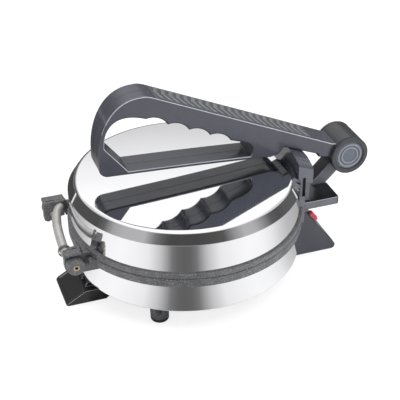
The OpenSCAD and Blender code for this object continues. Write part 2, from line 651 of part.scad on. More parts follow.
module chevron(w, t) {
  k = 0.35 * w;
  polygon([[k, 0], [k + t, 0], [t, w], [k + t, 2 * w], [k, 2 * w], [0, w]]);
}
module grip_pad() color("#55585f") place() on_top() {
  l = pad_l - 10.4;
  translate([0.2, -pad_half + 0.2, -pad_recess]) cube([l, 2 * pad_half - 0.4, pad_recess]);
  w = pad_half - 1.2;
  translate([0, -w, -eps]) for (x = [1.5:rib_pitch:l - 0.35 * w - rib_pitch / 2 - 1])
    translate([x, 0, 0]) linear_extrude(rib_h) chevron(w, rib_pitch / 2);
}

module barrel_pin() color("#9b9da1") place() at_barrel()
  rod(barrel_pin_r, -barrel_half + cap_t, barrel_half - cap_t);
module barrel_bush() color("#c9b184") place() at_barrel() difference() {
  rod(barrel_pin_r + 2 - pin_gap, -arm_half, arm_half);
  rod(barrel_pin_r + pin_gap, -arm_half - 1, arm_half + 1);
}
module barrel_cap(s) at_barrel() rotate([s < 0 ? 90 : -90, 0, 0]) translate([0, 0, barrel_half - cap_t])
  rotate_extrude() polygon([
    [0, 0], [barrel_r, 0], [barrel_r, cap_t - 1], [barrel_r - 1, cap_t], [barrel_r - 4.6, cap_t],
    [barrel_r - 5, cap_t - 0.9], [13, cap_t - 0.9], [12.6, cap_t - 0.2], [11.4, cap_t - 0.2],
    [11, cap_t - 0.9], [9.4, cap_t - 0.9], [9, cap_t - 0.2],
    [7.8, cap_t - 0.2], [7.4, cap_t - 0.9], [0, cap_t - 0.9]
  ]);
module barrel_cap_front() color("#3c3f47") place() barrel_cap(-1);
module barrel_cap_rear() color("#3c3f47") place() barrel_cap(1);

base_shell();
base_cover();
cover_screws();
lower_plate();
lower_element();
lower_reflector();
lower_spacers();
thermostat();
terminal_block();
peg_feet();
foot_tips();
hinge_foot();
cord_gland();
lamp_housing();
red_lamp();
green_lamp();
lamp_holders();
housing_screws();
hinge_pins();
lid_shell();
upper_plate();
upper_element();
upper_reflector();
upper_spacers();
insulation_pad();
thermal_fuse();
yoke();
yoke_screws();
lift_tab();
stay_arm();
wire_conduit();
conduit_glands();
handle_front();
handle_rear();
grip_pad();
handle_screws();
barrel_pin();
barrel_bush();
barrel_cap_front();
barrel_cap_rear();
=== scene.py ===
"""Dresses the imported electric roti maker: surfaces, rounded edges, small trim, floor, lights and camera.

All outlines are in millimetres, in x from the plate axis, y, and z from the table, as in the part's source.
"""

from __future__ import annotations

import json
import logging
import math
from dataclasses import dataclass
from enum import Enum, IntEnum
from typing import Callable, Iterable, Sequence

import bmesh
import bpy
from mathutils import Matrix, Vector

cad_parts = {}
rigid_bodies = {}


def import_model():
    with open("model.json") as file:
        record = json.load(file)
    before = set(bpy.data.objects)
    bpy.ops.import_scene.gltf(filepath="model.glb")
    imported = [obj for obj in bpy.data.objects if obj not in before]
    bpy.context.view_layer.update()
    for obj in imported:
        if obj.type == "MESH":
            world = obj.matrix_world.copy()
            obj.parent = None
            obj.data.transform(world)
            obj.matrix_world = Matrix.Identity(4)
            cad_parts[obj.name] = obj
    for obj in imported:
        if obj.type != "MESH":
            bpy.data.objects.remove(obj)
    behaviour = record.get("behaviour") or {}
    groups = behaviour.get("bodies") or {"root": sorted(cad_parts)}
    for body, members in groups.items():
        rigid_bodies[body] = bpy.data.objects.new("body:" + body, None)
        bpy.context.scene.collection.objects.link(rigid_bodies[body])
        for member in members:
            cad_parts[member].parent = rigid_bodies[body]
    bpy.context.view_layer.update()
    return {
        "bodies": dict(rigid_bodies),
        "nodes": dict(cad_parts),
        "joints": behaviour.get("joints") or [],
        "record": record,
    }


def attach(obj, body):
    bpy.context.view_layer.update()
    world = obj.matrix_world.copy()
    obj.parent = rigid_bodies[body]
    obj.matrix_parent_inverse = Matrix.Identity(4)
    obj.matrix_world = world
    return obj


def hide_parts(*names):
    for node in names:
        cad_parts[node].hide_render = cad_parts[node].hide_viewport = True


LOG = logging.getLogger("roti_maker")

Pair = tuple[float, float]
Triple = tuple[float, float, float]
Stops = Sequence[Pair]
Mesh = bmesh.types.BMesh
Node = bpy.types.Node
Socket = bpy.types.NodeSocket

# Sizes in millimetres, as in the part's source.
SHIFT_X = -26.25
SEAM_Z = 61.0
LID_R = 113.0
BASE_R = 112.5
UP_RIM_Z = 67.0
LOW_RIM_Z = 52.5
BASE_Z = 22.0
BEVEL_Z = 96.2
BEVEL_W = 7.3
LID_TOP_Z = 106.9
SHEET = 1.0
BARREL_X = 167.9
BARREL_Z = 102.0
BARREL_R = 19.6
BARREL_HALF = 20.0
BARREL_GAP = 0.4
EYE_R = 16.4
SHROUD_R = EYE_R + 0.6
ARM_HALF = 9.0
HANDLE_HALF = 15.5
HANDLE_SLOPE = 24.1
HALVES_GAP = 0.08
PAD_X = -30.0
PAD_LENGTH = 173.0
PAD_INSET = 2.2
RIDGE_PITCH = 8.0
CONDUIT_R = 4.5
CONDUIT_Z = 65.6
CONDUIT_PLAN = (
    (-116, 47), (-116.1, 44), (-119.2, 38.2), (-122.2, 30), (-124.2, 21.1), (-125.8, 12.2), (-126.8, 3.3),
    (-127.6, -5.6), (-128.1, -14.5), (-128.6, -23.3), (-129, -30), (-129, -35), (-129, -38),
)
SLOPE_FOOT = (117.1, 0.0, 53.0)
SLOPE_ANGLE = 52.47

# Turned profiles start this far from their axis.
ON_AXIS = 0.01
# A corner flatter than this, in radians, isn't rounded.
NEARLY_STRAIGHT = 0.02
# A rounding takes at most this share of a side.
MOST_OF_SIDE = 0.45
# Edges over this angle, in degrees, are sharp.
SHARP = 32.0
# Segments around the barrel's turned pieces.
BARREL_STEPS = 96


class Body(str, Enum):
    """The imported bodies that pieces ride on."""

    BASE = "base"
    LID = "lid"
    HANDLE = "handle"


class Axis(Enum):
    """The direction that an outline is extruded along."""

    X = 0
    Y = 1
    Z = 2


class Trim(IntEnum):
    """The further finishes of a piece, in the order of its trims."""

    FIRST = 1
    SECOND = 2
    THIRD = 3


def point(x: float, y: float, z: float) -> Vector:
    """Turns plate millimetres into the row frame's metres.

    Args:
        x: Distance from the plate axis.
        y: Sideways distance.
        z: Height above the table.

    Returns:
        The point in metres.
    """
    return Vector(((x + SHIFT_X) / 1000, y / 1000, z / 1000))


# ---- outlines ----


def bezier(a: Pair, b: Pair, c: Pair, d: Pair, steps: int = 24) -> list[Pair]:
    """Samples a cubic curve.

    Args:
        a: Start.
        b: First handle.
        c: Second handle.
        d: End.
        steps: Number of segments.

    Returns:
        The sampled points, both ends included.
    """
    out = []
    for i in range(steps + 1):
        t = i / steps
        w = ((1 - t) ** 3, 3 * t * (1 - t) ** 2, 3 * t * t * (1 - t), t**3)
        out.append(tuple(sum(k * p[j] for k, p in zip(w, (a, b, c, d))) for j in (0, 1)))
    return out


def arc(centre: Pair, radius: float, start: float, end: float, steps: int = 12) -> list[Pair]:
    """Samples a circular arc.

    Args:
        centre: Centre of the arc.
        radius: Its radius.
        start: First angle in degrees.
        end: Last angle in degrees.
        steps: Number of segments.

    Returns:
        The sampled points, both ends included.
    """
    out = []
    for i in range(steps + 1):
        t = math.radians(start + (end - start) * i / steps)
        out.append((centre[0] + radius * math.cos(t), centre[1] + radius * math.sin(t)))
    return out


def soften(points: Sequence[Pair], radius: float | Sequence[float], steps: int = 4) -> list[Pair]:
    """Rounds the corners of a closed outline.

    Args:
        points: The corners in order.
        radius: One radius for all corners, or one for each.
        steps: Segments per corner.

    Returns:
        The rounded outline.
    """
    out: list[Pair] = []
    n = len(points)
    radii = [radius] * n if isinstance(radius, (int, float)) else list(radius)
    for i, (corner, r) in enumerate(zip(points, radii)):
        p = Vector(corner)
        u = Vector(points[i - 1]) - p
        v = Vector(points[(i + 1) % n]) - p
        angle = u.angle(v, math.pi) if u.length and v.length else math.pi
        if r <= 0 or angle > math.pi - NEARLY_STRAIGHT:
            out.append(corner)
            continue
        reach = min(r / math.tan(angle / 2), MOST_OF_SIDE * u.length, MOST_OF_SIDE * v.length)
        a, b = p + u.normalized() * reach, p + v.normalized() * reach
        for k in range(steps + 1):
            t = k / steps
            q = a * (1 - t) ** 2 + p * 2 * t * (1 - t) + b * t * t
            out.append((q.x, q.y))
    return out


def chord_arc(a: Pair, b: Pair, depth: float, steps: int = 12) -> list[Pair]:
    """Bulges an arc up over a chord.

    Args:
        a: Start of the chord.
        b: End of the chord.
        depth: Height of the arc over the chord.
        steps: Number of segments.

    Returns:
        The sampled points, both ends included.
    """
    va, vb = Vector(a), Vector(b)
    d = vb - va
    r = (d.length**2 / 4 + depth**2) / (2 * depth)
    up = Vector((-d.y, d.x)).normalized()
    centre = (va + vb) / 2 - up * (r - depth)
    half = math.degrees(math.asin(d.length / 2 / r))
    mid = math.degrees(math.atan2(up.y, up.x))
    return arc((centre.x, centre.y), r, mid + half, mid - half, steps)


class Handle:
    """The handle's outlines, by the same numbers as the part's source."""

    RISE = 138.2 + SEAM_Z
    TOP_X = -34.0
    BAND_X = -87.0
    CUSP = (-40.0, 117.0 + SEAM_Z)
    PITCH = 22.6
    DEPTH = 3.8
    BAR = 3.2

    @classmethod
    def top(cls, x: float) -> float:
        """Gives the height of the top line at x."""
        return cls.RISE - math.tan(math.radians(HANDLE_SLOPE)) * (x - cls.TOP_X)

    @staticmethod
    def under(x: float) -> float:
        """Gives the height of the lower edge at x."""
        return SEAM_Z + 63.6 - 0.053 * (x + 78) - 0.00013 * max(0.0, x + 30) ** 2

    @staticmethod
    def notch(x: float) -> float:
        """Gives the height of the notch over the yoke at x."""
        return SEAM_Z + 61.9 - 0.405 * (x - 98)

    @classmethod
    def cusp(cls, i: int) -> Pair:
        """Gives the place of a ridge between two fingers."""
        a = math.radians(HANDLE_SLOPE + 0.2)
        return cls.CUSP[0] + i * cls.PITCH * math.cos(a), cls.CUSP[1] - i * cls.PITCH * math.sin(a)

    @classmethod
    def outline(cls) -> list[Pair]:
        """Gives the outer outline."""
        s, b = SEAM_Z, cls.BAND_X
        out = bezier((b, 79 + s), (b, 109 + s), (-74, cls.top(-74) - 16), (-44, cls.RISE + 1.6))
        crown = ((-44, cls.RISE + 1.6), (-41, cls.RISE + 2.0), (-38, cls.RISE + 1.4), (cls.TOP_X, cls.top(cls.TOP_X)))
        out += bezier(*crown, 5)[1:]
        out += [(150.0, cls.top(150)), *arc((BARREL_X, BARREL_Z), SHROUD_R, 128, 176, 6)]
        out += [(146.0, 41.4 + s), (136.0, 43.4 + s), (135.0, cls.notch(135)), (98.0, cls.notch(98))]
        out += [(95.0, 58.2 + s), (92.0, 54.9 + s)]
        out += [(float(x), cls.under(x)) for x in range(84, -79, -9)]
        out += arc((b + 9, cls.under(-78) + 9), 9, 262, 180, 8)
        return out

    @classmethod
    def loop(cls) -> list[Pair]:
        """Gives the outline of the finger loop."""
        out = bezier((-80.6, 93.4 + SEAM_Z), (-80.8, 112 + SEAM_Z), (-71, 129.5 + SEAM_Z), cls.CUSP)
        for i in range(4):
            out += chord_arc(cls.cusp(i), cls.cusp(i + 1), cls.DEPTH)[1:]
        last = cls.cusp(4)
        low = (63.5, cls.under(63.5) + cls.BAR)
        out += bezier(last, (last[0] + 12, last[1] - 5), (70, 74 + SEAM_Z), low, 16)[1:]
        out += [(x, cls.under(x) + cls.BAR) for x in (57.0, 48.0, 30.0, 12.0, -6.0, -24.0, -42.0, -59.0)]
        return out


# ---- materials ----


@dataclass(frozen=True)
class Finish:
    """How a surface looks.

    Attributes:
        colour: Base colour, linear.
        roughness: Mean roughness.
        metallic: 1 for bare metal.
        coat: Clear coat weight.
        tint: How much the colour varies.
        smudge: How much the roughness varies.
        grain: Strength of the fine bump.
        grain_scale: Scale of the fine bump per metre.
        patch_scale: Scale of colour and roughness patches per metre.
        specular: Specular level.
    """

    colour: Triple
    roughness: float
    metallic: float = 0.0
    coat: float = 0.0
    tint: float = 0.05
    smudge: float = 0.05
    grain: float = 0.05
    grain_scale: float = 2500.0
    patch_scale: float = 60.0
    specular: float = 0.5


FINISHES: dict[str, Finish] = {
    "steel": Finish((0.9, 0.9, 0.91), 0.035, metallic=1, tint=0.015, smudge=0.02, grain=0, patch_scale=18),
    "handle_plastic": Finish((0.056, 0.058, 0.074), 0.24, coat=0.3, tint=0.06, smudge=0.05, grain=0.02),
    "cap_plastic": Finish((0.1, 0.108, 0.135), 0.22, coat=0.3, tint=0.05, smudge=0.05, grain=0.02),
    "barrel": Finish((0.026, 0.028, 0.03), 0.3, coat=0.2, tint=0.06, smudge=0.06, grain=0.03),
    "rim_black": Finish((0.03, 0.032, 0.038), 0.16, coat=0.5, tint=0.05, smudge=0.04, grain=0.02),
    # Painted highlight: a light grey for the tops of the caps' rings.
    "cap_ring_highlight": Finish((0.2, 0.21, 0.24), 0.2, coat=0.3, tint=0.05, smudge=0.04, grain=0.02),
    "foot_plastic": Finish((0.012, 0.012, 0.013), 0.3, tint=0.08, smudge=0.06, grain=0.03, specular=0.35),
    "peg_plastic": Finish((0.02, 0.02, 0.022), 0.16, coat=0.6, tint=0.06, smudge=0.04, grain=0.02),
    "grip": Finish((0.08, 0.083, 0.09), 0.45, tint=0.1, smudge=0.08, grain=0.12, grain_scale=1800),
    "grip_ridge": Finish((0.15, 0.154, 0.163), 0.4, tint=0.1, smudge=0.08, grain=0.12, grain_scale=1800),
    # Painted highlight: a light grey for roundings that face up or forward, in place of the highlights along those
    # edges.
    "painted_highlight_edge": Finish((0.36, 0.37, 0.4), 0.16, coat=0.4, tint=0.1, smudge=0.05, grain=0.02),
    # Painted shade: near black for roundings that face down, in place of the dark reflections along those edges.
    "painted_shade_edge": Finish((0.012, 0.012, 0.014), 0.3, tint=0.08, smudge=0.05, grain=0.02, specular=0.3),
    # Painted light: a lighter grey for sides facing across the press, as if lit.
    "painted_lit_flank": Finish((0.115, 0.118, 0.135), 0.38, tint=0.08, smudge=0.06, grain=0.05),
    "tab_plastic": Finish((0.014, 0.015, 0.018), 0.2, coat=0.1, tint=0.08, smudge=0.05, grain=0.02),
    "housing_plastic": Finish((0.05, 0.052, 0.064), 0.22, coat=0.3, tint=0.08, smudge=0.05, grain=0.02),
    "yoke_plastic": Finish((0.058, 0.06, 0.074), 0.22, coat=0.35, tint=0.06, smudge=0.05, grain=0.02),
    "rubber": Finish((0.014, 0.014, 0.015), 0.62, tint=0.1, grain=0.15, grain_scale=1500, specular=0.3),
    "arm_metal": Finish((0.085, 0.088, 0.095), 0.36, metallic=0.1, tint=0.08, smudge=0.08, grain=0.06),
    "brass": Finish((0.62, 0.52, 0.34), 0.28, metallic=1, tint=0.08, grain=0.05),
    "zinc": Finish((0.55, 0.56, 0.58), 0.32, metallic=1, tint=0.1, grain=0.08),
    "bright_sheet": Finish((0.78, 0.79, 0.8), 0.25, metallic=1, tint=0.04, grain=0.05),
    "element_sheath": Finish((0.2, 0.15, 0.13), 0.45, metallic=0.7, tint=0.35, grain=0.1, patch_scale=25),
    "ceramic": Finish((0.74, 0.7, 0.62), 0.4, tint=0.06, grain=0.1),
    "felt": Finish((0.66, 0.62, 0.54), 0.9, tint=0.2, grain=0.8, grain_scale=700, specular=0.1),
    "black_sheet": Finish((0.03, 0.03, 0.032), 0.4, tint=0.1, grain=0.1, grain_scale=1400),
    "conduit": Finish((0.52, 0.51, 0.5), 0.26, metallic=0.4, tint=0.1, smudge=0.1, grain=0.08),
    "conduit_end": Finish((0.16, 0.15, 0.14), 0.35, metallic=0.5, tint=0.1, grain=0.1),
}


class Graph:
    """Adds nodes to a tree and joins them as they are added."""

    def __init__(self, tree: bpy.types.NodeTree) -> None:
        self.tree = tree

    def feed(self, node: Node, inputs: dict[str | int, object]) -> None:
        """Sets a node's inputs.

        Args:
            node: The node.
            inputs: A value, or the output to join, for each input by name or number.
        """
        for key, value in inputs.items():
            if isinstance(value, Socket):
                self.tree.links.new(value, node.inputs[key])
            else:
                node.inputs[key].default_value = value

    def add(self, kind: str, inputs: dict[str | int, object] | None = None, **settings: object) -> Node:
        """Adds a node.

        Args:
            kind: Its type, without the prefix ShaderNode.
            inputs: What its inputs get, as for feed.
            settings: Its own properties.

        Returns:
            The node.
        """
        node = self.tree.nodes.new(f"ShaderNode{kind}")
        for key, value in settings.items():
            setattr(node, key, value)
        self.feed(node, inputs or {})
        return node

    def math(self, operation: str, *values: object) -> Socket:
        """Works out one operation on values or outputs, and gives its output."""
        return self.add("Math", dict(enumerate(values)), operation=operation).outputs[0]

    def remap(self, source: Socket, start: Pair, end: Pair = (0, 1)) -> Socket:
        """Maps the range start of a value onto the range end, and gives the output."""
        inputs = {"Value": source, "From Min": start[0], "From Max": start[1], "To Min": end[0], "To Max": end[1]}
        return self.add("MapRange", inputs).outputs["Result"]

    def mix(self, a: object, b: object, share: Socket) -> Socket:
        """Mixes a share of colour b into colour a, and gives the output."""
        return self.add("Mix", {"Factor": share, "A": a, "B": b}, data_type="RGBA").outputs["Result"]

    def blend(self, a: Node, b: Node, share: Socket) -> Node:
        """Mixes a share of shader b into shader a, and gives the node."""
        return self.add("MixShader", {"Fac": share, 1: a.outputs[0], 2: b.outputs[0]})

    def ramp(self, source: Socket, stops: Stops, gain: float = 1.0) -> Socket:
        """Turns a value into greys.

        Args:
            source: The value.
            stops: Places and their levels.
            gain: What the levels are multiplied by.

        Returns:
            The output, a touch bluish.
        """
        node = self.add("ValToRGB", {"Fac": source})
        elements = node.color_ramp.elements
        while len(elements) < len(stops):
            elements.new(0.5)
        for element, (position, level) in zip(elements, stops):
            element.position = position
            element.color = (level * gain, level * gain, level * gain * 1.01, 1)
        return node.outputs["Color"]


def new_material(name: str) -> tuple[bpy.types.Material, Graph, Node]:
    """Makes a material.

    Args:
        name: Its name.

    Returns:
        The material, its graph and its shader.
    """
    material = bpy.data.materials.new(name)
    material.use_nodes = True
    shader = next(n for n in material.node_tree.nodes if n.type == "BSDF_PRINCIPLED")
    return material, Graph(material.node_tree), shader


class Paint:
    """Builds procedural materials in object coordinates and keeps them by name."""

    NOISE_SPAN = (0.3, 0.7)
    COAT_ROUGHNESS = 0.08
    BUMP_DEPTH = 0.0004
    CAST_GREYS = ((0.092, 0.092, 0.096, 1), (0.142, 0.142, 0.148, 1))
    CAST_ROUGHNESS = (0.36, 0.5)
    CAST_METALLIC = 0.25
    CAST_PATCHES = (90, 5)
    CAST_GRAIN = (900, 0.35)
    FLECK_COLOUR = (0.32, 0.325, 0.345, 1)
    FLECK_SCALE = 620
    FLECK_EDGE = (0.16, 0.3)
    LENS_COLOURS = {
        "lamp_red": ((0.72, 0.02, 0.06, 1), (0.95, 0.12, 0.2, 1)),
        "lamp_green": ((0.01, 0.25, 0.05, 1), (0.04, 0.5, 0.12, 1)),
    }

    LENS_PATCH_SCALE = 300
    LENS_ROUGHNESS = 0.08
    LENS_CLEARNESS = 0.25

    def __init__(self) -> None:
        self._made: dict[str, bpy.types.Material] = {}

    def get(self, name: str) -> bpy.types.Material:
        """Gives a material, building it the first time.

        Args:
            name: Name of a finish, or of a special material.

        Returns:
            The material.
        """
        if name not in self._made:
            material, graph, shader = new_material(f"finish_{name}")
            place = graph.add("TexCoord").outputs["Object"]
            if name == "cast_coated":
                self._cast(graph, shader, place)
            elif name in self.LENS_COLOURS:
                self._lens(graph, shader, place, *self.LENS_COLOURS[name])
            else:
                self._plain(graph, shader, place, FINISHES[name])
            self._made[name] = material
        return self._made[name]

    @staticmethod
    def _noise(graph: Graph, place: Socket, scale: float, detail: float = 3) -> Socket:
        return graph.add("TexNoise", {"Scale": scale, "Detail": detail, "Vector": place}).outputs["Fac"]

    def _bump(self, graph: Graph, shader: Node, place: Socket, scale: float, strength: float) -> None:
        height = self._noise(graph, place, scale)
        bump = graph.add("Bump", {"Strength": strength, "Distance": self.BUMP_DEPTH, "Height": height})
        graph.feed(shader, {"Normal": bump.outputs["Normal"]})

    def _plain(self, graph: Graph, shader: Node, place: Socket, finish: Finish) -> None:
        patch = self._noise(graph, place, finish.patch_scale)
        low = (*(c * (1 - finish.tint) for c in finish.colour), 1)
        high = (*(min(1.0, c * (1 + finish.tint)) for c in finish.colour), 1)
        rough = (max(0.0, finish.roughness - finish.smudge / 2), finish.roughness + finish.smudge / 2)
        graph.feed(shader, {
            "Base Color": graph.mix(low, high, graph.remap(patch, self.NOISE_SPAN)),
            "Roughness": graph.remap(patch, self.NOISE_SPAN, rough),
            "Metallic": finish.metallic,
            "Specular IOR Level": finish.specular,
            "Coat Weight": finish.coat,
            "Coat Roughness": self.COAT_ROUGHNESS,
        })
        if finish.grain:
            self._bump(graph, shader, place, finish.grain_scale, finish.grain)

    def _cast(self, graph: Graph, shader: Node, place: Socket) -> None:
        speck = graph.add("TexVoronoi", {"Scale": self.FLECK_SCALE, "Vector": place})
        fleck = graph.remap(speck.outputs["Distance"], self.FLECK_EDGE, (1, 0))
        patch = self._noise(graph, place, *self.CAST_PATCHES)
        base = graph.mix(*self.CAST_GREYS, graph.remap(patch, self.NOISE_SPAN))
        graph.feed(shader, {
            "Base Color": graph.mix(base, self.FLECK_COLOUR, fleck),
            "Roughness": graph.remap(patch, self.NOISE_SPAN, self.CAST_ROUGHNESS),
            "Metallic": self.CAST_METALLIC,
        })
        self._bump(graph, shader, place, *self.CAST_GRAIN)

    def _lens(self, graph: Graph, shader: Node, place: Socket, low: object, high: object) -> None:
        patch = self._noise(graph, place, self.LENS_PATCH_SCALE)
        graph.feed(shader, {
            "Base Color": graph.mix(low, high, graph.remap(patch, self.NOISE_SPAN)),
            "Roughness": self.LENS_ROUGHNESS,
            "Transmission Weight": self.LENS_CLEARNESS,
            "Coat Weight": 1.0,
        })


# ---- meshes ----


class Maker:
    """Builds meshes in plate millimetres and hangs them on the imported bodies."""

    # Points closer than this are one: in millimetres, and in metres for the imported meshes.
    WELD = 0.001
    WELD_PACKED = 2e-6
    # Faces that turn less than this, in radians, are one.
    FLAT = 0.002
    FLAT_PACKED = math.radians(0.4)
    # Faces whose normal has at least this share across the press are its flanks.
    FLANK = 0.98

    def __init__(self, frame: dict, paint: Paint) -> None:
        self.frame = frame
        self.paint = paint

    # -- plain forms --

    @staticmethod
    def _lift(p: Pair, t: float, axis: Axis) -> Triple:
        """Puts a point of an outline at t along an axis."""
        return {Axis.X: (t, p[0], p[1]), Axis.Y: (p[0], t, p[1]), Axis.Z: (p[0], p[1], t)}[axis]

    def prism(
        self, outline: Sequence[Pair], lo: float, hi: float, axis: Axis, holes: Iterable[Sequence[Pair]] = ()
    ) -> Mesh:
        """Extrudes an outline.

        Args:
            outline: The outer outline.
            lo: Where it starts along the axis.
            hi: Where it ends.
            axis: The direction of the extrusion.
            holes: Outlines of openings.

        Returns:
            The solid.
        """
        bm = bmesh.new()
        edges = []
        for ring in (outline, *holes):
            verts = [bm.verts.new(self._lift(p, lo, axis)) for p in ring]
            edges += [bm.edges.new((verts[i - 1], verts[i])) for i in range(len(verts))]
        bmesh.ops.triangle_fill(bm, edges=edges, use_beauty=True, use_dissolve=False)
        inner = [e for e in bm.edges if not e.is_boundary]
        bmesh.ops.dissolve_limit(bm, angle_limit=self.FLAT, verts=[], edges=inner)
        grown = bmesh.ops.extrude_face_region(bm, geom=bm.faces[:], use_keep_orig=True)
        shift = Vector(self._lift((0, 0), hi - lo, axis))
        bmesh.ops.translate(bm, verts=[v for v in grown["geom"] if isinstance(v, bmesh.types.BMVert)], vec=shift)
        bmesh.ops.recalc_face_normals(bm, faces=bm.faces[:])
        return bm

    def lathe(self, profile: Sequence[Pair], steps: int) -> Mesh:
        """Turns a closed profile of radius and height about the plate axis.

        Args:
            profile: Points of radius and height.
            steps: Segments around.

        Returns:
            The turned solid.
        """
        bm = bmesh.new()
        verts = [bm.verts.new((r, 0, z)) for r, z in profile]
        edges = [bm.edges.new(pair) for pair in zip(verts, verts[1:] + verts[:1])]
        bmesh.ops.spin(
            bm, geom=verts + edges, cent=(0, 0, 0), axis=(0, 0, 1), angle=math.tau, steps=steps, use_merge=True
        )
        bmesh.ops.remove_doubles(bm, verts=bm.verts[:], dist=self.WELD)
        bmesh.ops.recalc_face_normals(bm, faces=bm.faces[:])
        return bm

    @staticmethod
    def move(bm: Mesh, matrix: Matrix) -> Mesh:
        """Moves a whole mesh by a matrix and gives it back."""
        bmesh.ops.transform(bm, matrix=matrix, verts=bm.verts[:])
        return bm

    @staticmethod
    def join(*parts: Mesh) -> Mesh:
        """Puts several meshes into the first one and gives it back."""
        first = parts[0]
        for part in parts[1:]:
            mesh = bpy.data.meshes.new("joined")
            part.to_mesh(mesh)
            part.free()
            first.from_mesh(mesh)
            bpy.data.meshes.remove(mesh)
        return first

    def round_edges(
        self,
        bm: Mesh,
        width: float,
        angle: float = SHARP,
        steps: int = 2,
        where: Callable[[bmesh.types.BMEdge], bool] | None = None,
        shine: bool = False,
    ) -> Mesh:
        """Rounds the sharp edges of a mesh.

        Args:
            bm: The mesh.
            width: Width of the rounding.
            angle: Smallest angle between faces, in degrees, that counts as sharp.
            steps: Segments of the rounding.
            where: Tells whether an edge is rounded, if not all are.
            shine: Whether roundings take painted light: the first trim where they face up or forward, the second where
            they face down; on most pieces these are a painted highlight and painted shade.

        Returns:
            The same mesh.
        """
        limit = math.radians(angle)
        sharp = [e for e in bm.edges if e.is_manifold and e.calc_face_angle(0) > limit and (where is None or where(e))]
        made = bmesh.ops.bevel(
            bm, geom=sharp, offset=width, offset_type="OFFSET", segments=steps, profile=0.5, material=-1,
            affect="EDGES", clamp_overlap=True,
        )
        for face in made["faces"] if shine else ():
            face.normal_update()
            face.material_index = self._trim_facing(*face.normal)
        return bm

    @staticmethod
    def _trim_facing(x: float, y: float, z: float) -> int:
        """Gives the trim of painted light for a rounding by its normal, or 0 where it runs across or lies too flat.

        The first trim goes where it faces up or forward, the second where it faces down.
        """
        if 0.25 < abs(y) < 0.95 and (z > 0.25 or x > 0.5):
            return Trim.FIRST
        return Trim.SECOND if 0.15 < abs(y) < 0.99 and z < -0.1 else 0

    # -- pieces --

    @staticmethod
    def _hang(obj: bpy.types.Object, body: Body, slot: str, replaces: Sequence[str]) -> bpy.types.Object:
        """Links an object, hangs it on its body and hides the nodes it stands for."""
        bpy.context.scene.collection.objects.link(obj)
        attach(obj, body.value)
        if replaces:
            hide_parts(*replaces)
        return obj

    def piece(
        self,
        name: str,
        bm: Mesh,
        finish: str,
        body: Body,
        slot: str,
        replaces: Sequence[str] = (),
        smooth: float = SHARP,
        trims: Sequence[str] = (),
    ) -> bpy.types.Object:
        """Makes an object of a mesh in plate millimetres.

        Args:
            name: Name of the piece.
            bm: Its mesh, which is freed.
            finish: Name of its finish.
            body: The body it rides on.
            slot: The record's slot; not used.
            replaces: The nodes it stands for.
            smooth: Edges over this many degrees stay sharp.
            trims: Names of further finishes, for the faces marked for them.

        Returns:
            The object.
        """
        self.move(bm, Matrix.Scale(0.001, 4) @ Matrix.Translation((SHIFT_X, 0, 0)))
        mesh = bpy.data.meshes.new(name)
        bm.to_mesh(mesh)
        bm.free()
        mesh.shade_smooth()
        mesh.set_sharp_from_angle(angle=math.radians(smooth))
        for coat in (finish, *trims):
            mesh.materials.append(self.paint.get(coat))
        obj = bpy.data.objects.new(name, mesh)
        weighted = obj.modifiers.new("even_shading", "WEIGHTED_NORMAL")
        weighted.keep_sharp = True
        return self._hang(obj, body, slot, replaces)

    def copy_node(self, node: str) -> Mesh:
        """Copies a node's mesh into plate millimetres, with its flat faces whole."""
        bm = bmesh.new()
        bm.from_mesh(self.frame["nodes"][node].data)
        bmesh.ops.remove_doubles(bm, verts=bm.verts[:], dist=self.WELD_PACKED)
        self.move(bm, Matrix.Translation((-SHIFT_X, 0, 0)) @ Matrix.Scale(1000, 4))
        bmesh.ops.dissolve_limit(bm, angle_limit=self.FLAT_PACKED, verts=bm.verts[:], edges=bm.edges[:])
        return bm

    def dress(
        self,
        node: str,
        finish: str,
        body: Body,
        slot: str,
        width: float,
        steps: int = 2,
        angle: float = SHARP,
        painted_edge_light: bool = False,
        flanks: bool = False,
    ) -> bpy.types.Object:
        """Stands a piece with rounded edges in a node's place.

        Args:
            node: The node.
            finish: Name of its finish.
            body: The body it rides on.
            slot: The record's slot; not used.
            width: Width of the rounding.
            steps: Segments of the rounding.
            angle: Smallest sharp angle in degrees.
            painted_edge_light: Whether its roundings get painted light: a painted highlight on the upper ones, painted
                shade on the lower ones.
            flanks: Whether its sides across the press get a lighter grey, painted light as if lit.

        Returns:
            The object.
        """
        bm = self.round_edges(self.copy_node(node), width, angle, steps, shine=painted_edge_light)
        # Sides facing across the press are painted lighter, as if lit.
        for face in bm.faces if flanks else ():
            if abs(face.normal.y) > self.FLANK:
                face.material_index = Trim.THIRD
        trims = ("painted_highlight_edge", "painted_shade_edge", "painted_lit_flank") if painted_edge_light else ()
        return self.piece(f"{node}_skin", bm, finish, body, slot, [node], trims=trims)

    def tube(
        self, name: str, route: Sequence[Triple], radius: float, body: Body, slot: str, replaces: Sequence[str]
    ) -> bpy.types.Object:
        """Runs a smooth round tube.

        Args:
            name: Name of the piece.
            route: Points in plate millimetres.
            radius: Its radius.
            body: The body it rides on.
            slot: The record's slot, which is also its finish.
            replaces: The nodes it stands for.

        Returns:
            The object.
        """
        curve = bpy.data.curves.new(name, "CURVE")
        curve.dimensions = "3D"
        curve.bevel_depth = radius / 1000
        curve.bevel_resolution = 6
        curve.resolution_u = 8
        curve.use_fill_caps = True
        spline = curve.splines.new("BEZIER")
        spline.bezier_points.add(len(route) - 1)
        for knot, place in zip(spline.bezier_points, route):
            knot.co = point(*place)
            knot.handle_left_type = knot.handle_right_type = "AUTO"
        curve.materials.append(self.paint.get(slot))
        return self._hang(bpy.data.objects.new(name, curve), body, slot, replaces)


# ---- the object ----


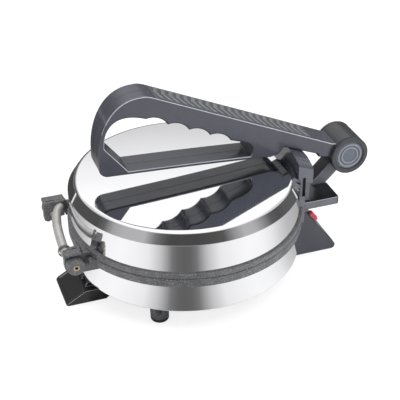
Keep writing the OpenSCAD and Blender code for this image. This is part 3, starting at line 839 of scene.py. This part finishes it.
class RotiMaker:
    """Builds every piece of the press."""

    INNER_FINISHES = {
        "black_sheet": ["base_cover"],
        "zinc": ["cover_screws", "housing_screws", "handle_screws", "barrel_pin", "lower_spacers", "upper_spacers"],
        "bright_sheet": ["lower_reflector", "upper_reflector"],
        "element_sheath": ["lower_element", "upper_element"],
        "ceramic": ["thermostat", "terminal_block", "thermal_fuse"],
        "felt": ["insulation_pad"],
        "brass": ["barrel_bush"],
    }

    def __init__(self, maker: Maker) -> None:
        self.make = maker

    def build(self) -> None:
        """Builds the shells, plates, hinge, yoke, feet, lamps and handle."""
        self.shells()
        self.plates()
        self.front()
        self.feet()
        self.lamps()
        self.handle()
        self.pad()
        self.barrel()
        self.inside()

    def shells(self) -> None:
        """Turns the two polished shells."""
        lid = soften(
            [(LID_R - SHEET, UP_RIM_Z), (LID_R, UP_RIM_Z), (LID_R, BEVEL_Z), (LID_R - BEVEL_W, LID_TOP_Z),
             (ON_AXIS, LID_TOP_Z), (ON_AXIS, LID_TOP_Z - SHEET), (LID_R - BEVEL_W - 0.5, LID_TOP_Z - SHEET),
             (LID_R - SHEET, BEVEL_Z - 0.4)],
            [0.1, 0.3, 1.2, 5.0, 0, 0, 0.3, 0.3], 10)
        curl = 3.0
        middle = (BASE_R - curl, BASE_Z + curl)
        base = [(BASE_R - 10, BASE_Z), *arc(middle, curl, -90, 0, 8), (BASE_R, LOW_RIM_Z), (BASE_R - SHEET, LOW_RIM_Z),
                *arc(middle, curl - SHEET, 0, -90, 8), (BASE_R - 10, BASE_Z + SHEET)]
        for node, profile, steps, body in (("lid_shell", lid, 360, Body.LID), ("base_shell", base, 256, Body.BASE)):
            shell = self.make.lathe(profile, steps)
            self.make.piece(f"{node}_polished", shell, "steel", body, "steel", [node], 60)

    def plates(self) -> None:
        """Dresses the cast plates, their lugs, the pins and the wire conduit."""
        self.make.dress("lower_plate", "cast_coated", Body.BASE, "cast_coated", 0.45)
        self.make.dress("upper_plate", "cast_coated", Body.LID, "cast_coated", 0.45)
        self.make.dress("hinge_pins", "brass", Body.BASE, "brass", 0.25)
        route = [(x, y, CONDUIT_Z) for x, y in CONDUIT_PLAN]
        self.make.tube("wire_conduit_smooth", route, CONDUIT_R, Body.LID, "conduit", ["wire_conduit"])
        self.make.dress("conduit_glands", "conduit_end", Body.LID, "conduit_end", 0.3)

    def front(self) -> None:
        """Dresses the yoke, the lift tab and the stay arm."""
        # The yoke, tab and arm get painted highlights and painted shade on their roundings, and painted light on their
        # sides.
        self.make.dress("yoke", "yoke_plastic", Body.LID, "gloss_black", 0.7, 3, painted_edge_light=True, flanks=True)
        self.make.dress("lift_tab", "tab_plastic", Body.LID, "gloss_black", 0.7, 3, painted_edge_light=True, flanks=True)
        self.make.dress("stay_arm", "arm_metal", Body.LID, "arm_metal", 0.6, 3, painted_edge_light=True, flanks=True)
        self.make.dress("yoke_screws", "zinc", Body.LID, "zinc", 0.3)

    def feet(self) -> None:
        """Dresses the feet, and the lamp housing with a thin black strip on its slope, painted shade along a seam."""
        # The foot's roundings get a painted highlight and painted shade.
        self.make.dress("hinge_foot", "foot_plastic", Body.BASE, "gloss_black", 0.6, 3, painted_edge_light=True)
        self.make.dress("peg_feet", "peg_plastic", Body.BASE, "gloss_black", 0.5)
        self.make.dress("foot_tips", "rubber", Body.BASE, "rubber", 0.5)
        self.make.dress("cord_gland", "rubber", Body.BASE, "rubber", 0.4)
        # Both trims of the housing are painted shade: all its roundings are painted dark.
        skin = self.make.round_edges(self.make.copy_node("lamp_housing"), 0.9, steps=3, shine=True)
        self.make.piece("lamp_housing_skin", skin, "housing_plastic", Body.BASE, "gloss_black", ["lamp_housing"],
                        trims=("painted_shade_edge", "painted_shade_edge"))
        # A thin black strip along the slope's edges, painted shade where a seam's shadow falls.
        top, foot, half, width = 2.0, 57.5, 27.0, 1.6
        ring = soften([(top, -half), (foot, -half), (foot, half), (top, half)], 3.0)
        x0, x1, y = 4.2, foot - width, half - width
        hole = soften([(x0, -y), (x1, -y), (x1, y), (x0, y)], 1.8)
        shade_strip = self.make.prism(ring, -0.4, 0.12, Axis.Z, [hole])
        slope = Matrix.Translation(SLOPE_FOOT) @ Matrix.Rotation(math.radians(SLOPE_ANGLE), 4, "Y")
        self.make.piece("housing_shade_strip", self.make.move(shade_strip, slope), "rubber", Body.BASE, "gloss_black")

    def lamps(self) -> None:
        """Dresses the two lamps in their holders."""
        self.make.dress("red_lamp", "lamp_red", Body.BASE, "lamp_red", 0.3, angle=50)
        self.make.dress("green_lamp", "lamp_green", Body.BASE, "lamp_green", 0.3, angle=50)
        self.make.dress("lamp_holders", "arm_metal", Body.BASE, "ceramic", 0.25)

    def handle(self) -> None:
        """Builds the two mouldings of the handle."""
        outline, loop = Handle.outline(), Handle.loop()
        for name, side in (("front", -1), ("rear", 1)):
            inner, outer = side * HALVES_GAP, side * HANDLE_HALF
            bm = self.make.prism(outline, min(inner, outer), max(inner, outer), Axis.Y, [loop])
            # The outer face's roundings get a painted highlight where they face up or forward and painted shade where
            # they face down.
            for width, steps, face_y in ((1.5, 4, outer), (0.3, 2, inner)):
                self.make.round_edges(
                    bm, width, 60, steps, lambda e, y=face_y: all(abs(v.co.y - y) < 0.001 for v in e.verts),
                    shine=face_y == outer,
                )
            self.make.piece(f"handle_moulding_{name}", bm, "handle_plastic", Body.HANDLE, "handle_plastic",
                            [f"handle_{name}"], 36, ("painted_highlight_edge", "painted_shade_edge"))

    def pad(self) -> None:
        """Builds the pad with its pointed ridges on the handle's top."""
        half = HANDLE_HALF - PAD_INSET
        plate = soften([(0, -half), (PAD_LENGTH, -half), (PAD_LENGTH, half), (0, half)], 1.2)
        parts = [self.make.round_edges(self.make.prism(plate, -1.4, 0.25, Axis.Z), 0.25)]
        reach, thick, x = half - 1.0, RIDGE_PITCH * 0.52, 1.5
        lean = 0.35 * reach
        while x + lean + thick < PAD_LENGTH - 1:
            shape = [(x + lean, -reach), (x + lean + thick, -reach), (x + thick, 0), (x + lean + thick, reach),
                     (x + lean, reach), (x, 0)]
            ridge = self.make.round_edges(self.make.prism(shape, 0.2, 1.0, Axis.Z), 0.35, 40, 3)
            for face in ridge.faces:
                face.material_index = Trim.FIRST
            parts.append(ridge)
            x += RIDGE_PITCH
        bm = self.make.join(*parts)
        place = Matrix.Translation((PAD_X, 0, Handle.top(PAD_X))) @ Matrix.Rotation(math.radians(HANDLE_SLOPE), 4, "Y")
        self.make.piece("grip_pad_ribbed", self.make.move(bm, place), "grip", Body.HANDLE, "grip", ["grip_pad"],
                        trims=("grip_ridge",))

    def barrel(self) -> None:
        """Builds the barrel's collars, its ringed caps and the shroud between them."""
        for name, side in (("front", 1), ("rear", -1)):
            turn = (Matrix.Translation((BARREL_X, 0, BARREL_Z)) @ Matrix.Rotation(math.radians(90), 4, "X")
                    @ Matrix.Scale(side, 4, (0, 0, 1)))
            collar, cap = self._collar(), self._cap()
            for bm in (collar, cap):
                self.make.move(bm, turn)
                bmesh.ops.recalc_face_normals(bm, faces=bm.faces[:])
            self.make.piece(f"barrel_collar_{name}", collar, "barrel", Body.HANDLE, "handle_plastic", smooth=50)
            self.make.piece(f"barrel_cap_{name}", cap, "cap_plastic", Body.HANDLE, "cap_plastic",
                            [f"barrel_cap_{name}"], 50, ("rim_black", "cap_ring_highlight"))
        centre = (BARREL_X, BARREL_Z)
        sector = arc(centre, BARREL_R, 28, 203, 64) + arc(centre, SHROUD_R, 203, 28, 64)
        half = ARM_HALF + BARREL_GAP
        shroud = self.make.prism(sector, -half, half, Axis.Y)
        self.make.piece("barrel_shroud", shroud, "barrel", Body.HANDLE, "handle_plastic")

    def _collar(self) -> Mesh:
        """Turns one collar, upright."""
        bore, z0, z1 = 4.1, ARM_HALF + BARREL_GAP, BARREL_HALF - 3.1
        profile = soften([(bore, z0), (BARREL_R, z0), (BARREL_R, z1), (bore, z1)], [0, 0, 0.4, 0])
        return self.make.lathe(profile, BARREL_STEPS)

    def _cap(self) -> Mesh:
        """Turns one cap, upright, with its rim and its ring tops marked for their trims; the ring tops get a painted
        highlight.
        """
        back, rim, ring, groove = 17.2, BARREL_HALF, BARREL_HALF - 0.4, BARREL_HALF - 1.4
        profile = soften(
            [(ON_AXIS, back), (BARREL_R - 0.2, back), (BARREL_R + 0.2, rim - 0.8), (BARREL_R - 0.6, rim),
             (BARREL_R - 4.4, rim), (BARREL_R - 5, groove), (13.2, groove), (12.7, ring), (11.3, ring), (10.8, groove),
             (9.6, groove), (9.1, ring), (7.9, ring), (7.4, groove), (ON_AXIS, rim - 1.0)],
            [0, 0.3, 0.5, 0.9, 0.8, 0.3] + [0.35] * 8 + [0])
        bm = self.make.lathe(profile, BARREL_STEPS)
        for face in bm.faces:
            spot = face.calc_center_median()
            radius = math.hypot(spot.x, spot.y)
            if radius > 14.0:
                face.material_index = Trim.FIRST
            # The ring tops take the painted highlight.
            elif radius > 7.0 and spot.z > rim - 1.0:
                face.material_index = Trim.SECOND
        return bm

    def inside(self) -> None:
        """Gives the inner nodes their finishes."""
        for finish, nodes in self.INNER_FINISHES.items():
            for node in nodes:
                for slot in self.make.frame["nodes"][node].material_slots:
                    slot.material = self.make.paint.get(finish)


# ---- the studio ----


class Studio:
    """The floor, the lights, the world and the camera.

    The steel mirrors greys that follow the angle from the camera's plane, so its bands stand where the photograph
    shows them, and no node reads the camera.
    """

    AZIMUTH = -18.8
    ELEVATION = 31.744
    ROLL = 0.681
    PLACE = (-0.29945, -0.8496, 0.6262)
    LENS = 96.0
    SENSOR = 36.0

    WHITE = (1, 1, 1, 1)
    FLOOR_WHITE = (0.93, 0.93, 0.93, 1)
    FLOOR_GLOW = 1.13
    FLOOR_GLOW_SHARE = 0.7

    # The cards: their edges in metres from the plate axis, and their greys by the angle about it, from 0 on the
    # camera's side to 1 behind the press.
    CARD_EDGES = (0.114, 0.295, 2.6)
    CARD_Z = 0.0006
    CARD_GLOW = 1.04
    SWEEP = (
        (0.0, 0.12), (0.025, 0.13), (0.05, 0.19), (0.097, 0.58), (0.145, 0.86), (0.2, 0.94), (0.27, 1.0), (0.34, 0.96),
        (0.4, 0.84), (0.45, 0.66), (0.51, 0.52), (0.57, 0.47),
    )
    NEAR_END = ((0.63, 0.42), (0.68, 0.3))
    FAR_END = ((0.62, 0.3), (0.66, 0.06))

    # The room: its greys from 0 behind the press to 1 on the camera's side, for each side of the camera's plane, and
    # its greys by height behind the press.
    ROOM_GLOW = 0.78
    MIRROR_GLOW = 1.12
    LEFT = (
        (0.0, 0.1), (0.3, 0.08), (0.51, 0.08), (0.575, 0.13), (0.65, 0.4), (0.72, 0.48), (0.83, 0.48), (0.87, 0.18),
        (0.9, 0.07),
    )
    RIGHT = (
        (0.0, 0.12), (0.34, 0.11), (0.43, 0.09), (0.51, 0.12), (0.577, 0.28), (0.65, 0.46), (0.72, 0.49), (0.78, 0.31),
        (0.83, 0.1), (0.9, 0.07),
    )
    RISE = ((0.0, 0.09), (0.3, 0.12), (0.44, 0.5), (0.47, 0.66), (0.49, 0.82), (0.52, 1.0))
    BEHIND = (-0.52, -0.66)
    CEILING = (0.62, 0.82)
    # The lid's bevel mirrors a slanting band of the room. Off that band, and above the low part, the room has one
    # grey.
    BAND_SLANT = -0.33
    BAND_DROP = -0.335
    BAND_EDGE = (0.1, 0.17)
    WALLS_FROM = (0.19, 0.27)
    WALL_GREY = (0.6, 0.6, 0.61, 1)

    def build(self) -> None:
        """Sets up everything around the object."""
        self.camera()
        self.floor()
        self.cards()
        self.lights()
        self.world()
        scene = bpy.context.scene
        scene.view_settings.view_transform = "Standard"
        scene.view_settings.look = "None"

    def camera(self) -> None:
        """Places the camera at the photograph's view."""
        a, e, r = (math.radians(x) for x in (self.AZIMUTH, self.ELEVATION, self.ROLL))
        back = Vector((math.sin(a) * math.cos(e), -math.cos(a) * math.cos(e), math.sin(e)))
        right = Vector((math.cos(a), math.sin(a), 0))
        up = back.cross(right)
        c, s = math.cos(r), math.sin(r)
        data = bpy.data.cameras.new("view")
        data.lens = self.LENS
        data.sensor_width = self.SENSOR
        data.clip_start, data.clip_end = 0.05, 50
        camera = bpy.data.objects.new("view", data)
        camera.matrix_world = self._placed(self.PLACE, right * c - up * s, right * s + up * c, back)
        bpy.context.scene.collection.objects.link(camera)
        bpy.context.scene.camera = camera

    @staticmethod
    def _placed(place: Sequence[float], x_axis: Vector, y_axis: Vector, z_axis: Vector) -> Matrix:
        """Gives the matrix of a place and three directions."""
        matrix = Matrix((x_axis, y_axis, z_axis)).transposed().to_4x4()
        matrix.translation = Vector(place)
        return matrix

    @staticmethod
    def _stage(name: str, bm: Mesh, material: bpy.types.Material) -> bpy.types.Object:
        """Makes a studio object of a mesh, which is freed, and links it to the scene."""
        mesh = bpy.data.meshes.new(name)
        bm.to_mesh(mesh)
        bm.free()
        mesh.materials.append(material)
        obj = bpy.data.objects.new(name, mesh)
        bpy.context.scene.collection.objects.link(obj)
        return obj

    def floor(self) -> None:
        """Lays the white floor, which glows a little for the camera alone."""
        bm = bmesh.new()
        bmesh.ops.create_grid(bm, x_segments=1, y_segments=1, size=6)
        material, graph, shader = new_material("floor_white")
        graph.feed(shader, {"Base Color": self.FLOOR_WHITE, "Roughness": 0.9, "Specular IOR Level": 0.05})
        seen = graph.add("LightPath").outputs["Is Camera Ray"]
        share = graph.math("MULTIPLY", seen, self.FLOOR_GLOW_SHARE)
        both = graph.blend(shader, graph.add("Emission", {"Strength": self.FLOOR_GLOW}), share)
        out = next(n for n in graph.tree.nodes if n.type == "OUTPUT_MATERIAL")
        graph.feed(out, {"Surface": both.outputs[0]})
        self._stage("floor", bm, material)

    def cards(self) -> None:
        """Lays two rings, seen only by mirrors, whose grey sweep shows in the steel walls."""
        inner, middle, outer = self.CARD_EDGES
        self._ring("near_card", inner, middle, (*self.SWEEP, *self.NEAR_END))
        self._ring("far_card", middle, outer, (*self.SWEEP, *self.FAR_END))

    def _ring(self, name: str, inner: float, outer: float, stops: Stops) -> None:
        """Lays one flat ring with its greys by angle."""
        bm = bmesh.new()
        edges = []
        for radius in (inner, outer):
            circle = bmesh.ops.create_circle(bm, segments=96, radius=radius)["verts"]
            edges += list({e for v in circle for e in v.link_edges})
        bmesh.ops.bridge_loops(bm, edges=edges)
        bmesh.ops.recalc_face_normals(bm, faces=bm.faces[:])
        axis = (SHIFT_X / 1000, 0, 0)
        bmesh.ops.translate(bm, verts=bm.verts[:], vec=(axis[0], 0, self.CARD_Z))
        material, graph, _ = new_material(f"{name}_grey")
        graph.tree.nodes.clear()
        turn = graph.add("Mapping", {
            "Vector": graph.add("TexCoord").outputs["Object"],
            "Location": axis,
            "Rotation": (0, 0, math.radians(self.AZIMUTH - 90)),
        }, vector_type="TEXTURE")
        split = graph.add("SeparateXYZ", {"Vector": turn.outputs["Vector"]})
        angle = graph.math("ABSOLUTE", graph.math("ARCTAN2", split.outputs["Y"], split.outputs["X"]))
        grey = graph.ramp(graph.remap(angle, (0, math.pi)), stops)
        glow = graph.add("Emission", {"Color": grey, "Strength": self.CARD_GLOW})
        graph.add("OutputMaterial", {"Surface": glow.outputs[0]})
        obj = self._stage(name, bm, material)
        obj.visible_camera = obj.visible_diffuse = obj.visible_shadow = False

    def lights(self) -> None:
        """Hangs the soft lamps, all level, which the mirrors don't show."""
        self._lamp("key", 22.0, (1.4, 1.4), Matrix.Translation((-0.9, 0.5, 1.9)))
        self._lamp("fill", 9.0, (1.2, 1.2), Matrix.Translation((0.8, -0.7, 1.7)))
        facing = Vector((1.25, -1.1, 0.3)).to_track_quat("Z", "Y").to_matrix().to_4x4()
        self._lamp("side", 11.0, (0.7, 0.7), Matrix.Translation((1.25, -1.1, 0.4)) @ facing, (0.86, 0.93, 1.0))
        middle, along = Vector((1.02, -0.89, 1.45)), Vector((0.96, 0.3, -0.5)).normalized()
        back = middle.normalized()
        self._lamp("strip", 5.0, (1.3, 0.12), self._placed(middle, along, back.cross(along), back))

    @staticmethod
    def _lamp(name: str, power: float, size: Pair, matrix: Matrix, colour: Triple = (1, 1, 1)) -> None:
        data = bpy.data.lights.new(name, "AREA")
        data.shape = "RECTANGLE"
        data.size, data.size_y = size
        data.energy = power
        data.color = colour
        obj = bpy.data.objects.new(name, data)
        obj.matrix_world = matrix
        obj.visible_glossy = False
        bpy.context.scene.collection.objects.link(obj)

    def world(self) -> None:
        """Makes a white room with a few dark parts for the polished steel to mirror."""
        world = bpy.data.worlds.new("studio")
        bpy.context.scene.world = world
        world.use_nodes = True
        world.node_tree.nodes.clear()
        graph = Graph(world.node_tree)
        mirrored = graph.add("Background", {"Color": self._room(graph), "Strength": self.MIRROR_GLOW})
        plain = graph.add("Background", {"Color": self.WHITE, "Strength": self.ROOM_GLOW})
        seen = graph.add("Background", {"Color": self.WHITE})
        rays = graph.add("LightPath")
        hidden = graph.blend(plain, mirrored, rays.outputs["Is Glossy Ray"])
        both = graph.blend(hidden, seen, rays.outputs["Is Camera Ray"])
        graph.add("OutputWorld", {"Surface": both.outputs[0]})

    def _room(self, graph: Graph) -> Socket:
        """Joins up the greys that mirrors see, and gives their output."""
        place = graph.add("TexCoord").outputs["Generated"]
        a = math.radians(self.AZIMUTH)
        towards, across = (
            graph.add("VectorMath", {0: place, 1: way}, operation="DOT_PRODUCT").outputs["Value"]
            for way in ((math.sin(a), -math.cos(a), 0), (math.cos(a), math.sin(a), 0))
        )
        height = graph.add("SeparateXYZ", {"Vector": place}).outputs["Z"]
        span = graph.remap(towards, (-1, 1))
        left, right = (graph.ramp(span, stops, 1 / self.MIRROR_GLOW) for stops in (self.LEFT, self.RIGHT))
        sides = graph.mix(left, right, graph.remap(across, (-0.05, 0.05)))
        band = graph.math("ADD", graph.math("MULTIPLY_ADD", towards, self.BAND_SLANT, self.BAND_DROP), height)
        off_band = graph.remap(graph.math("ABSOLUTE", band), self.BAND_EDGE)
        share = graph.math("MULTIPLY", off_band, graph.remap(height, self.WALLS_FROM))
        walls = graph.mix(sides, self.WALL_GREY, share)
        room = graph.mix(walls, graph.ramp(height, self.RISE), graph.remap(towards, self.BEHIND))
        return graph.mix(room, self.WHITE, graph.remap(height, self.CEILING))


def main() -> None:
    """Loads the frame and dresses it."""
    logging.basicConfig(level=logging.INFO)
    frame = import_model()
    Studio().build()
    RotiMaker(Maker(frame, Paint())).build()


if __name__ == "__main__":
    main()
